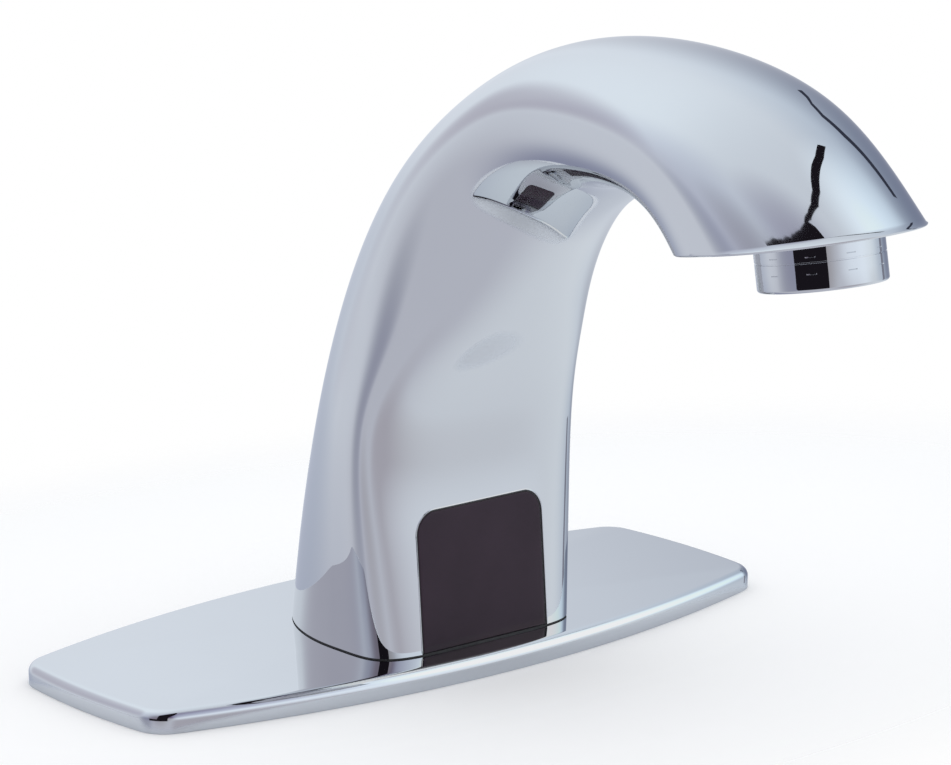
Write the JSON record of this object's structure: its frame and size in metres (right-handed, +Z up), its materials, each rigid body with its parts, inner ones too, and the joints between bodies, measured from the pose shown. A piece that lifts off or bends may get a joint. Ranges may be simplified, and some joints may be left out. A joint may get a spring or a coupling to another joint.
{
  "type": "sensor tap",
  "caption": "Deck-mounted sensor tap: an arched chrome spout on a flat oval deck plate, a dark sensor window at its foot, a solenoid valve inside and a screw-on aerator.",
  "frame": {"origin": "centre of the deck plate's foot, on the surface that the tap stands on", "axes": "+X to the right along the deck plate seen from the basin, -Y to the front, where the spout reaches over the basin, +Z up"},
  "size_m": [0.1634, 0.1724, 0.1339],
  "materials": {
    "chrome": "polished",
    "dark_lens": "gloss",
    "black_rubber": "matte",
    "black_plastic": "matte",
    "cast_brass": "satin",
    "steel": "satin",
    "valve_plastic": "satin",
    "white_plastic": "satin",
    "copper_wire": "satin",
    "board_green": "satin",
    "eye_dark": "gloss",
    "lamp_clear": "gloss",
    "clear_hose": "satin"
  },
  "bodies": {
    "root": {"deck_plate": "chrome", "plate_carrier": "black_plastic", "deck_gasket": "black_rubber", "body_gasket": "black_rubber", "spout_body": "chrome", "sensor_window": "dark_lens", "window_seal": "black_rubber", "base_block": "cast_brass", "base_screws": "steel", "inlet_filter": "steel", "inlet_o_ring": "black_rubber", "cable_gland": "black_rubber", "valve_block": "valve_plastic", "valve_cover": "valve_plastic", "cover_screws": "steel", "diaphragm": "black_rubber", "core_tube": "steel", "fixed_core": "steel", "plunger_spring": "steel", "coil_bobbin": "white_plastic", "coil_winding": "copper_wire", "coil_yoke": "steel", "coil_clip": "steel", "sensor_housing": "black_plastic", "sensor_board": "board_green", "board_screws": "steel", "ir_emitter": "eye_dark", "ir_receiver": "eye_dark", "light_divider": "black_plastic", "status_lamp": "lamp_clear", "outlet_hose": "clear_hose", "hose_connector": "cast_brass"},
    "plunger": {"plunger": "steel", "plunger_seal": "black_rubber"},
    "valve_disc": {"valve_disc": "valve_plastic"},
    "aerator_cartridge": {"aerator_insert": "white_plastic", "aerator_screen": "steel", "flow_regulator": "white_plastic", "aerator_washer": "black_rubber"},
    "aerator_ring": {"aerator_housing": "chrome"}
  },
  "joints": [
    {"name": "plunger_slide", "type": "slide", "parent": "root", "child": "plunger", "axis": [0, 0, 1], "range_m": [0, 0.002], "stiffness_N_per_m": 200, "springref_m": -0.004, "deforming": ["plunger_spring"]},
    {"name": "disc_lift", "type": "slide", "parent": "root", "child": "valve_disc", "axis": [0, 0, 1], "range_m": [0, 0.0012], "deforming": ["diaphragm"]},
    {"name": "aerator_advance", "type": "slide", "parent": "root", "child": "aerator_cartridge", "axis": [0, -0.1748, -0.9846], "range_m": [0, 0.004]},
    {"name": "aerator_turn", "type": "hinge", "parent": "aerator_cartridge", "child": "aerator_ring", "pos_m": [0, -0.1208, 0.10307], "axis": [0, -0.1748, -0.9846], "range_deg": [0, 1440]}
  ],
  "couplings": [
    {"joint": "disc_lift", "follows": "plunger_slide", "ratio": 0.6},
    {"joint": "aerator_advance", "follows": "aerator_turn", "m_per_rad": 0.00015915}
  ]
}
